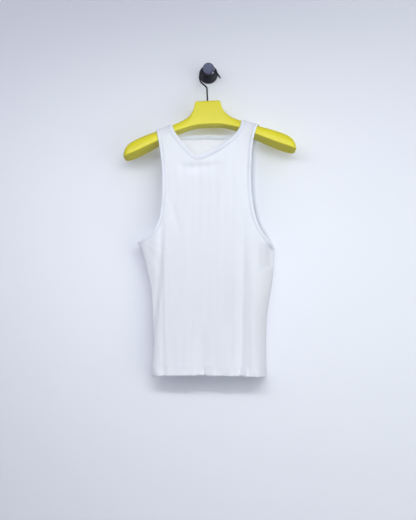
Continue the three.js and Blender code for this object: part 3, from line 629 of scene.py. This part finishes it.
# hem: middle of a bump or notch, half width, how far it stands out
frontHemWaves = [
    (-119, 8, 2.8), (-103, 4, -3.6), (-62, 14, 2.2), (-36, 6, 2.0), (-23, 4, -1.6), (-9, 4, -4.8),
    (12, 8, 2.6), (33, 4, -2.0), (50, 8, 3.2), (74, 3.5, -4.6), (89, 5, 3.6), (105, 3.5, -2.2), (118, 6, 2.4),
]
backHemWaves = [
    (-110, 12, 1.6), (-88, 6, -2), (-40, 20, 1.6), (12, 7, -2.2), (45, 16, 1.8), (74, 7, -2), (112, 14, 1.6),
]

hem = {
    "front": [
        (-132.5, -722.6), (-120, -720.2), (-42, -718.7), (40, -719.5), (90, -721.2), (108, -721.8),
        (123, -724.0), (139.5, -730.6),
    ],
    "back": [(-132.5, -722.8), (3, -723), (100, -723.4), (139.5, -730.4)],
    "height": 19,
    "fold": 1.5,
    "flare": 6.0,
    "flareBend": 1.15,
    "waveReach": 26,  # how far up the cloth the bumps and notches go
    "levelReach": 60,  # how far up the rows of the panel follow the hem's line
    "turnRows": 7,
    "stitchRows": (17.6, 15.0),
    "stitchRun": (-131, 137),
}


def foldDepth(folds, x, z):
    total = np.zeros(np.broadcast(x, z).shape)
    for x0, z0, x1, z1, bow, left, right, depth in folds:
        run, fall = x1 - x0, z1 - z0
        length = math.hypot(run, fall)
        along = ((x - x0) * run + (z - z0) * fall) / length**2
        off = ((z - z0) * run - (x - x0) * fall) / length
        off = off - bow * 4 * np.clip(along, 0, 1) * (1 - np.clip(along, 0, 1))
        width = np.where(off < 0, left, right)
        # a slow start and a quicker end, each a little past the row's own end
        fade = ease(np.minimum((along + 0.1) / 0.35, (1.15 - along) / 0.2))
        total += depth * fade * np.exp(-((off / width) ** 2))
    return total


# slight unevenness of hung cotton, longer down the cloth than across
unevenness = [
    [luck.uniform(low, high) for low, high in ((18, 60), (70, 260), (0, 6.3), (0, 6.3), (0.03, 0.1))]
    for _ in range(14)
]


def softNoise(x, z):
    total = 0
    for across, down, phaseX, phaseZ, size in unevenness:
        sway = 0.8 * np.sin(z / down * 6.28 + phaseZ)
        total = total + size * np.sin(x / across * 6.28 + phaseX + sway)
    return total


def hemLine(side):
    rows = hem["front"] if side < 0 else hem["back"]
    return curveThrough(column(rows, 0), column(rows, 1))


hemHeightAt = {side: hemLine(side) for side in (-1, 1)}


def hangingDepth(x, z, side):
    crest = frontCrest(z) if side < 0 else backCrest(z)
    left = ramp((x - seamLeftX(z)) / turnLeft(z))
    right = ramp((seamRightX(z) - x) / turnRight(z))
    edge = np.minimum(left, right)
    folded = foldDepth(frontFolds if side < 0 else backFolds, x, z)
    above = z - hemHeightAt[side](x)
    band = ease(1 - above / hem["waveReach"])
    for middle, width, out in frontHemWaves if side < 0 else backHemWaves:
        folded = folded + side * out * band * np.exp(-(((x - middle) / width) ** 2))
    flare = hem["flare"] * np.clip(1 - above / hem["height"], 0, 1) ** hem["flareBend"]
    folded = (folded + softNoise(x, z) + side * flare) * edge
    return crest + (seamLeftY(z) - crest) * (1 - left) + (seamRightY(z) - crest) * (1 - right) + folded


# the cloth's way over the arm at each x, from the ridge to where it hangs free
class OverArm:
    steps = 41
    span = (-150, 146, 0.5)  # first x, last x, step

    def __init__(self, side):
        self.x = np.arange(*self.span)
        rows = [self.path(x, side) for x in self.x]
        self.leaveY, self.leaveZ, self.travel = (np.array([row[i] for row in rows]) for i in range(3))
        self.pathY, self.pathZ = (np.array([row[i] for row in rows]) for i in (3, 4))

    def path(self, x, side):
        ox, c, s = hanger["origin"][0], math.cos(hanger["tilt"]), math.sin(hanger["tilt"])
        station = x - ox
        for _ in range(3):
            ridge = hangerTop(abs(station)) * math.cos(hanger["pitch"])
            station = (x - ox + ridge * s) / c
        depth, up = halfSection(station, 24, 5)
        outline = np.stack([depth, up], axis=1)
        run = np.gradient(np.concatenate([[[-depth[1], up[1]]], outline]), axis=0)[1:]
        run /= np.linalg.norm(run, axis=1)[:, None]
        raised = outline + drape["clearance"] * np.stack([-run[:, 1], run[:, 0]], axis=1)
        places = hung(station, side * raised[:, 0], raised[:, 1])[:, 1:]
        last = int(np.argmax(side * places[:, 0]))
        places = places[: last + 1]
        travel = np.concatenate([[0], np.cumsum(np.linalg.norm(np.diff(places, axis=0), axis=1))])
        even = np.linspace(0, travel[-1], self.steps)
        y, z = (np.interp(even, travel, places[:, i]) for i in (0, 1))
        return y[-1], z[-1], travel[-1], y, z

    def read(self, values, x):
        return np.interp(x, self.x, values)

    def shoulder(self, x):
        return self.read(self.leaveZ, x) + self.read(self.travel, x)

    def over(self, x, share):
        i = np.clip((x - self.span[0]) / self.span[2], 0, len(self.x) - 1.001)
        j = np.clip(share, 0, 1) * (self.steps - 1.001)
        i0, j0 = i.astype(int), j.astype(int)
        fi, fj = i - i0, j - j0
        found = []
        for table in (self.pathY, self.pathZ):
            low = mix(table[i0, j0], table[i0, j0 + 1], fj)
            high = mix(table[i0 + 1, j0], table[i0 + 1, j0 + 1], fj)
            found.append(mix(low, high, fi))
        return found


overArm = {side: OverArm(side) for side in (-1, 1)}


# middle of the cloth at x and at height q measured along it; side -1 is the front, 1 the back
def clothOn(x, q, side):
    arm = overArm[side]
    leaveY, leaveZ, travel = (arm.read(v, x) for v in (arm.leaveY, arm.leaveZ, arm.travel))
    near = ease((q - leaveZ + drape["strapBlend"]) / drape["strapBlend"])
    low = np.minimum(q, leaveZ)
    hangs = hangingDepth(x, low, side) + near * (leaveY - hangingDepth(x, leaveZ, side))
    armY, armZ = arm.over(x, (leaveZ + travel - q) / travel)
    free = q <= leaveZ
    return np.stack([x + 0 * q, np.where(free, hangs, armY), np.where(free, q, armZ)], axis=-1)


# the same, carried over the shoulder line onto the other side where q goes past it
def clothAt(x, q, side):
    x, q = np.broadcast_arrays(np.asarray(x, float), np.asarray(q, float))
    past = q - overArm[side].shoulder(x)
    here = clothOn(x, np.minimum(q, overArm[side].shoulder(x)), side)
    there = clothOn(x, overArm[-side].shoulder(x) - np.maximum(past, 0), -side)
    return np.where((past > 0)[..., None], there, here)


def clothNormal(x, q, side):
    step = 1.2
    across = clothAt(x + step, q, side) - clothAt(x - step, q, side)
    along = clothAt(x, q + step, side) - clothAt(x, q - step, side)
    normal = -side * np.cross(across, along)
    normal /= np.linalg.norm(normal, axis=-1)[..., None]
    nearLeft = 1 - ramp((x - seamLeftX(q)) / drape["seamTurn"])
    nearRight = 1 - ramp((seamRightX(q) - x) / drape["seamTurn"])
    below = q < drape["leftUnderarm"][1] + drape["seamTurn"]
    turned = (below * ease(np.maximum(nearLeft, nearRight)))[..., None]
    outwards = np.zeros(normal.shape)
    outwards[..., 0] = np.where(nearLeft > nearRight, -1, 1)
    normal = mix(normal, outwards, turned)
    return normal / np.linalg.norm(normal, axis=-1)[..., None]


print("drape worked out")


# finished edges of the cloth

edges = {
    "armholes": {
        (-1, "left"): [(-116.7, -169), (-111.2, -205), (-107.8, -250), (-107.9, -290), (-111.6, -334),
                       (-117.5, -360), (-128, -380), (-146.1, -394.5)],
        (-1, "right"): [(104.2, -169), (99.6, -210), (98.9, -250), (100.2, -296), (107.1, -340),
                        (117.1, -368), (131.7, -391), (149.1, -410.6)],
        (1, "left"): [(-116.5, -166), (-105.5, -206), (-102.6, -250), (-103.6, -292), (-112, -338),
                      (-124, -366), (-140, -386), (-154, -397.5)],
        (1, "right"): [(116.6, -160), (112.9, -206), (112.2, -250), (113.9, -293), (122.8, -344),
                       (129.9, -365), (141.3, -385), (151.5, -405)],
    },
    "necklines": {
        -1: [(-76.5, -156), (-62, -174.3), (-47, -192.5), (-34, -204.4), (-24.6, -207.7), (-13, -204.6),
             (6, -196.8), (26, -185.4), (43, -172.5), (58.5, -160.8), (69, -148.5)],
        1: [(-82.5, -147), (-66, -153.5), (-40, -153.2), (0, -151.2), (34, -152.8), (60, -151.8), (74, -143)],
    },
    "shoulders": {"leftOuter": -124.8, "leftInner": -89.4, "rightInner": 80.2, "rightOuter": 119.8},
    "lowestNeckX": {-1: -24.6, 1: 0},
}


# a finished edge, and any line that lies inside it by a width
class ClothEdge:
    samples = 1400

    def __init__(self, side, rows, startX, endX, towards, underarm=None):
        self.side, self.startX, self.endX = side, startX, endX
        self.towards, self.underarm = towards, underarm
        start = self.shoulderPoint(startX)
        end = underarm if underarm else self.shoulderPoint(endX)
        self.places, self.heading = roundLine([start, *rows, end], self.samples)
        self.length = np.linalg.norm(np.diff(self.places, axis=0), axis=1).sum()
        self.share = np.linspace(0, 1, self.samples)

    def shoulderPoint(self, x):
        return np.array([x, float(overArm[self.side].shoulder(x))])

    # where the line at this width begins and ends
    def ends(self, width):
        run = width * drape["shoulderSlope"]
        begin = self.shoulderPoint(self.startX + (self.towards if self.underarm else -1) * run)
        if not self.underarm:
            return begin, self.shoulderPoint(self.endX + run)
        z = self.underarm[1] - width
        seam = seamLeftX if self.underarm[0] < 0 else seamRightX
        return begin, np.array([float(seam(z)), z])

    def inside(self, t, width):
        place = np.stack([np.interp(t, self.share, self.places[:, i]) for i in (0, 1)], axis=-1)
        heading = np.stack([np.interp(t, self.share, self.heading[:, i]) for i in (0, 1)], axis=-1)
        found = place + self.towards * width * np.stack([-heading[..., 1], heading[..., 0]], axis=-1)
        begin, end = self.ends(width)
        settle = drape["settleShare"]
        first = np.clip(1 - t / settle, 0, 1)[..., None]
        last = np.clip((t - 1 + settle) / settle, 0, 1)[..., None]
        return mix(mix(found, begin, first), end, last)

    def shareAtX(self, x):
        return self.share[int(np.argmin(np.abs(self.places[:, 0] - x)))]


shoulders = edges["shoulders"]
armholeEdges = {
    (side, hand): ClothEdge(
        side,
        rows,
        shoulders[hand + "Outer"],
        None,
        1 if hand == "left" else -1,
        drape[hand + "Underarm"],
    )
    for (side, hand), rows in edges["armholes"].items()
}
neckEdges = {
    side: ClothEdge(side, rows, shoulders["leftInner"], shoulders["rightInner"], -1)
    for side, rows in edges["necklines"].items()
}


# front and back

panel = {
    "wall": 1.1,
    "tuck": 3.2,  # how far the cloth runs into its binding
    "columns": 70,
    "sideRows": 128,
    "armholeRows": 66,
    "strapRows": 60,
    "strapShare": 0.42,  # of the armhole edge, from the shoulder down
    "strapPacking": 0.85,  # closer rows near the shoulder
    "middleTop": (-415, 0.22),  # under the neckline: height, and its share of the way up to it
    "neckBinding": 10,
    "armholeBinding": 8.5,
}


def addPanel(name, side, node):
    columns = panel["columns"]
    neck = neckEdges[side]
    neckInset = panel["neckBinding"] - panel["tuck"]
    inset = panel["armholeBinding"] - panel["tuck"]
    split = neck.shareAtX(edges["lowestNeckX"][side])
    neckPoint = neck.inside(np.array([split]), neckInset)[0]
    hemRows = hem["front" if side < 0 else "back"]
    hemMiddle = (0, float(hemHeightAt[side](0)))
    middleTop = mix(panel["middleTop"][0] - inset, neckPoint[1], panel["middleTop"][1])
    neckRow = panel["sideRows"] + panel["armholeRows"]
    grids, uvs = [], []
    for hand in ("left", "right"):
        edge = armholeEdges[(side, hand)]
        seamX = seamLeftX if hand == "left" else seamRightX
        seamTop = edge.ends(inset)[1][1]
        hemZ = hemRows[0 if hand == "left" else -1][1]
        up = np.linspace(0, 1, panel["sideRows"] + 1)
        outerZ = mix(hemZ, seamTop, up)
        low = np.stack([seamX(outerZ), outerZ], axis=1)
        t = np.linspace(1, panel["strapShare"], panel["armholeRows"] + 1)[1:]
        strapRise = np.linspace(0, 1, panel["strapRows"] + 1)[1:] ** panel["strapPacking"]
        strap = panel["strapShare"] * (1 - strapRise)
        outer = np.concatenate([low, edge.inside(t, inset), edge.inside(strap, inset)])
        middle = np.stack([mix(hemMiddle[0], neckPoint[0], ease(up)), mix(hemMiddle[1], middleTop, up)], axis=1)
        rise = np.linspace(0, 1, panel["armholeRows"] + 1)[1:, None]
        neckEnd = 0 if hand == "left" else 1
        neckShare = mix(split, neckEnd, strapRise)
        inner = np.concatenate([middle, mix(middle[-1], neckPoint, rise), neck.inside(neckShare, neckInset)])
        across = np.linspace(0, 1, columns + 1)[None, :, None]
        flat = mix(outer[:, None], inner[:, None], across)
        x, q = flat[..., 0], flat[..., 1]
        q = q + (hemHeightAt[side](x[0]) - q[0]) * np.clip(1 - (q - q[0]) / hem["levelReach"], 0, 1) ** 2
        q = np.minimum(q, overArm[side].shoulder(x) - 0.1)
        q[-1] = overArm[side].shoulder(x[-1]) - 0.1
        points = clothAt(x, q, side)
        steps = np.hypot(*np.moveaxis(np.diff(points[..., :2], axis=1), -1, 0))
        reach = np.concatenate([np.cumsum(steps[:, ::-1], axis=1)[:, ::-1], np.zeros((len(x), 1))], axis=1)
        u = x[:, -1:] + (-reach if hand == "left" else reach)
        uv = np.stack([u, q], axis=-1)
        if hand == "right":
            points, uv = points[:, ::-1], uv[:, ::-1]
        grids.append(points)
        uvs.append(uv)

    # the hem is turned up inside: rows on the inner face, then round the fold
    turnRows = hem["turnRows"]
    for k in range(2):
        rowUp = np.gradient(grids[k], axis=0)[: turnRows + 1]
        rowAcross = np.gradient(grids[k], axis=1)[: turnRows + 1]
        normal = -side * np.cross(rowAcross, rowUp)
        normal /= np.linalg.norm(normal, axis=-1)[..., None]
        inner = grids[k][1 : turnRows + 1] - hem["fold"] * normal[1:]
        fold = grids[k][:1] - 0.5 * hem["fold"] * normal[:1] - np.array([0, 0, 0.45])
        grids[k] = np.concatenate([inner[::-1], fold, grids[k]])
        uvInner = uvs[k][1 : turnRows + 1] * np.array([1, -1]) + 2 * np.array([0, 1]) * uvs[k][:1]
        uvs[k] = np.concatenate([uvInner[::-1], uvs[k][:1] - np.array([0, 0.8]), uvs[k]])
    neckRow += turnRows + 1

    rows = len(grids[0])
    size = rows * (columns + 1)
    index = [np.arange(size).reshape(rows, -1), size + np.arange(size).reshape(rows, -1)]
    index[1][: neckRow + 1, 0] = index[0][: neckRow + 1, -1]
    faces, corner = [], []
    for k in range(2):
        corners = gridCorners(rows, columns + 1, flip=side > 0)
        faces += index[k][corners[..., 0], corners[..., 1]].tolist()
        corner.append(uvs[k][corners[..., 0], corners[..., 1]].reshape(-1, 2))
    points = np.concatenate([grids[0].reshape(-1, 3), grids[1].reshape(-1, 3)])
    piece = addPiece(name, points, faces, np.concatenate(corner))
    wall = piece.modifiers.new("wall", "SOLIDIFY")
    wall.thickness = panel["wall"] * mm
    wall.offset = 0
    return finish(piece, "rib_cotton", frontFinish if side < 0 else backPaintedLighter, node)


frontCloth = addPanel("frontCloth", -1, "front_panel")
backCloth = addPanel("backCloth", 1, "back_panel")
print("front and back made")


# bindings

binding = {
    "step": 2.0,
    # across the strip as a share of its width, and how far out of the cloth's middle
    "section": [
        (1.0, 0.62), (0.985, 1.0), (0.95, 1.4), (0.9, 1.4), (0.81, 0.85), (0.72, 1.45), (0.6, 1.75),
        (0.4, 1.85), (0.2, 1.7), (0.07, 1.3), (0.015, 0.6), (0.0, 0.0), (0.015, -0.6), (0.07, -1.1),
        (0.2, -1.25), (0.5, -1.3), (0.8, -1.15), (0.93, -0.95), (1.0, -0.62),
    ],
    "stitchRow": 0.81,
    "pucker": 0.35,
    "crestPoint": 8,  # the section's points that lengths are measured along, and the first behind
    "firstBehind": 12,
}


def evenShares(edge, start, end, step):
    count = max(4, int(round(edge.length * abs(end - start) / step)))
    return np.linspace(start, end, count + 1)[:-1]


def bindingLegs(edgeFront, edgeBack, step):
    # armhole: down the front from the shoulder, up the back; neckline: across the front, back across the back
    return [
        (edgeFront, evenShares(edgeFront, 0, 1, step)),
        (edgeBack, evenShares(edgeBack, 1, 0, step)),
    ]


# where a line along the strip lies on the cloth, leg by leg
def stripChart(legs, across, width):
    for edge, shares in legs:
        x, q = edge.inside(shares, across * width).T
        yield x, np.minimum(q, overArm[edge.side].shoulder(x)), edge.side


def stripPlaces(legs, across, out, width):
    places = []
    for x, q, side in stripChart(legs, across, width):
        places.append(clothAt(x, q, side) + out[: len(x), None] * clothNormal(x, q, side))
        out = out[len(x) :]
    return np.concatenate(places)


def stripNormals(legs, across, width):
    return np.concatenate([clothNormal(*place) for place in stripChart(legs, across, width)])


def addBinding(name, legs, width, node, flip):
    count = sum(len(shares) for _, shares in legs)
    pucker = np.convolve(luck.normal(0, 1, count + 8), np.ones(9) / 9, "valid") * binding["pucker"]
    rings = []
    for across, out in binding["section"]:
        rise = out * (1 + 0.25 * pucker) + 0.25 * pucker * (out > 0)
        rings.append(stripPlaces(legs, across, rise, width))
    grid = np.stack(rings, axis=1)
    crest = grid[:, binding["crestPoint"]]
    along = np.concatenate([[0], np.cumsum(np.linalg.norm(np.diff(crest, axis=0), axis=1))])
    along = np.append(along, along[-1] + np.linalg.norm(crest[0] - crest[-1]))
    side = np.append(column(binding["section"], 0), 1.0) * width
    side[binding["firstBehind"] :] *= -1
    uv = np.stack(np.broadcast_arrays(along[:, None], side[None, :]), axis=-1)
    piece = gridPiece(name, grid, uv, closeRows=True, closeColumns=True, flip=flip)
    return finish(piece, "binding_cotton", bindingPaintedDarker, node), along[-1]


neckLegs = bindingLegs(neckEdges[-1], neckEdges[1], binding["step"])
leftLegs, rightLegs = (
    bindingLegs(armholeEdges[(-1, hand)], armholeEdges[(1, hand)], binding["step"]) for hand in ("left", "right")
)
# name, legs, width, node, and whether its faces are flipped
strips = [
    ("neck", neckLegs, panel["neckBinding"], "neck_binding", False),
    ("leftArmhole", leftLegs, panel["armholeBinding"], "armhole_binding_left", True),
    ("rightArmhole", rightLegs, panel["armholeBinding"], "armhole_binding_right", False),
]
bindings = [addBinding(f"{name}Binding", *rest) for name, *rest in strips]
print("bindings made, mm long:", *(round(length) for _, length in bindings))


# stitches

stitch = {"pitch": 3.0, "length": 2.3, "thread": 0.28, "rise": 0.2, "sides": 5}
thread = threadFinish()


# one short bar of thread for each stitch, all in one mesh
def addStitches(name, places, normals, closed):
    if closed:
        places, normals = (np.concatenate([v, v[:1]]) for v in (places, normals))
    travel = np.concatenate([[0], np.cumsum(np.linalg.norm(np.diff(places, axis=0), axis=1))])
    count = int(travel[-1] / stitch["pitch"])
    middle = (np.arange(count) + 0.5) * travel[-1] / count
    middle = middle + luck.uniform(-0.15, 0.15, count)

    def read(values, at):
        return np.stack([np.interp(at, travel, values[:, i]) for i in range(3)], axis=-1)

    # five rings to a stitch, its thin ends sunk in the cloth
    shares = np.array([-0.5, -0.36, 0, 0.36, 0.5])
    size = np.array([0.25, 0.9, 1, 0.9, 0.25]) * stitch["thread"]
    lift = np.array([-0.5, 0.3, 1, 0.3, -0.5]) * stitch["rise"]
    turn = np.linspace(0, 2 * math.pi, stitch["sides"], endpoint=False)
    at = middle[:, None] + shares * stitch["length"]
    line = read(places, at)
    out = read(normals, at)
    ahead = np.gradient(line, axis=1)
    ahead /= np.linalg.norm(ahead, axis=-1)[..., None]
    beside = np.cross(ahead, out)
    line = line + lift[None, :, None] * out
    ring = (
        line[:, :, None]
        + size[None, :, None, None] * np.cos(turn)[:, None] * beside[:, :, None]
        + size[None, :, None, None] * np.sin(turn)[:, None] * out[:, :, None]
    )
    points = ring.reshape(-1, 3)
    each = len(shares) * len(turn)
    corners = gridCorners(len(shares), len(turn), closeColumns=True)
    quads = corners[..., 0] * len(turn) + corners[..., 1] % len(turn)
    faces = (np.arange(count)[:, None, None] * each + quads).reshape(-1, 4).tolist()
    for k in range(count):
        faces.append([k * each + i for i in range(len(turn))][::-1])
        faces.append([k * each + (len(shares) - 1) * len(turn) + i for i in range(len(turn))])
    piece = addPiece(name, points, faces)
    return finish(piece, "binding_cotton", thread)


def addBindingStitches(name, legs, width):
    count = sum(len(shares) for _, shares in legs)
    row = binding["stitchRow"]
    places = stripPlaces(legs, row, np.full(count, 0.95), width)
    return addStitches(name, places, stripNormals(legs, row, width), True)


bindingStitches = [
    addBindingStitches(f"{name}Stitches", legs, width) for name, legs, width, *_ in strips
]


def addHemStitches(name, side, above):
    x = np.linspace(*hem["stitchRun"], 400)
    z = hemHeightAt[side](x) + above
    x = np.clip(x, seamLeftX(z) + 1, seamRightX(z) - 1)
    normal = clothNormal(x, z, side)
    places = clothAt(x, z, side) + normal * (panel["wall"] / 2 + 0.1)
    return addStitches(name, places, normal, False)


hemStitches = [
    addHemStitches(f"{label}HemStitches{row}", side, above)
    for label, side in (("front", -1), ("back", 1))
    for row, above in enumerate(hem["stitchRows"], 1)
]
print("stitches made")


for piece, side, stitches in ((frontCloth, "front", hemStitches[:2]), (backCloth, "back", hemStitches[2:])):
    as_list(stitches)


# wall, floor and light

stage = {
    "wallAt": 0.6,
    "wall": (-1900, 1900, -1500, 1100),  # left, right, bottom, top
    "floorAt": -1500,
    "floor": (-1900, 1900, -2600, 1500),  # left, right, near, far
    "paint": (0.80, 0.825, 0.86, 1),
    "ambient": 0.315,
    "ambientColour": (0.73, 0.72, 1.0),
    # name, place, aimed at, width and height, watts, colour, spread in degrees
    "lights": [
        ("keyStrip", (-40, -900, 63), (80, 0, -1300), (1060, 90), 4.0, (0.98, 1.0, 0.98), 130),
        ("highFill", (540, -1500, 480), (210, 0, -60), (1500, 1400), 9.2, (0.93, 0.96, 1.0), 180),
        ("sideFill", (1450, -1100, -560), (100, 0, -520), (1200, 1400), 9.0, (0.92, 0.98, 0.86), 180),
        ("leftFill", (-1200, -1100, 300), (-100, 0, -450), (1000, 1200), 4.2, (0.95, 0.97, 1.0), 180),
        ("backFill", (500, 1700, 300), (0, 0, -400), (1400, 1000), 27.0, (0.93, 0.93, 1.0), 180),
    ],
}


def stageSheet(name, corners, steps=24):
    a, b, c, d = (np.array(corner, float) for corner in corners)
    s = np.linspace(0, 1, steps)[:, None, None]
    t = np.linspace(0, 1, steps)[None, :, None]
    grid = mix(mix(a, b, t), mix(d, c, t), s)
    uv = np.zeros((steps, steps, 2))
    piece = gridPiece(name, grid, uv)
    return piece


# matt paint, seen from the front only, so that the back of the piece can be looked at
def wallFinish():
    look = Finish("wallPaint", Roughness=0.9)
    look.shader.inputs["Specular IOR Level"].default_value = 0.1
    look.shader.inputs["Base Color"].default_value = stage["paint"]
    place = look.add("ShaderNodeTexCoord", output=3)
    look.bump(look.noise(place, 220.0, 3.0), 0.0001, 0.25)
    clear = look.add("ShaderNodeBsdfTransparent")
    behind = look.add("ShaderNodeNewGeometry", output=6)
    mixed = look.add("ShaderNodeMixShader", {0: behind, 1: look.shader.outputs[0], 2: clear})
    look.tree.links.new(mixed, look.tree.nodes["Material Output"].inputs["Surface"])
    return look.material


def floorFinish():
    look = Finish("floorPaint", Roughness=0.85)
    place = look.add("ShaderNodeTexCoord", output=3)
    look.drive("Base Color", look.blend(look.noise(place, 3.0), (0.70, 0.71, 0.72, 1), (0.74, 0.75, 0.76, 1)))
    return look.material


left, right, bottom, top = stage["wall"]
at = stage["wallAt"]
wall = stageSheet("wall", [(left, at, bottom), (right, at, bottom), (right, at, top), (left, at, top)])
wall.data.materials.append(wallFinish())
wall.visible_diffuse = False
wall.visible_glossy = False
wall.visible_shadow = False
left, right, near, far = stage["floor"]
low = stage["floorAt"]
floor = stageSheet("floor", [(left, near, low), (right, near, low), (right, far, low), (left, far, low)])
floor.data.materials.append(floorFinish())


def addSoftLight(name, place, target, size, power, colour, spread):
    data = bpy.data.lights.new(name, "AREA")
    data.shape = "RECTANGLE"
    data.size, data.size_y = size[0] * mm, size[1] * mm
    data.energy = power
    data.color = colour
    data.spread = math.radians(spread)
    lamp = bpy.data.objects.new(name, data)
    lamp.location = Vector(place) * mm
    lamp.rotation_euler = (Vector(target) - Vector(place)).to_track_quat("-Z", "Y").to_euler()
    lamp.visible_camera = False
    bpy.context.scene.collection.objects.link(lamp)


for light in stage["lights"]:
    addSoftLight(*light)

world = bpy.data.worlds.new("softRoom")
world.use_nodes = True
sky = world.node_tree.nodes["Background"]
sky.inputs[0].default_value = (*stage["ambientColour"], 1)
sky.inputs[1].default_value = stage["ambient"]
bpy.context.scene.world = world
bpy.context.scene.view_settings.view_transform = "Standard"
print("stage and light set")
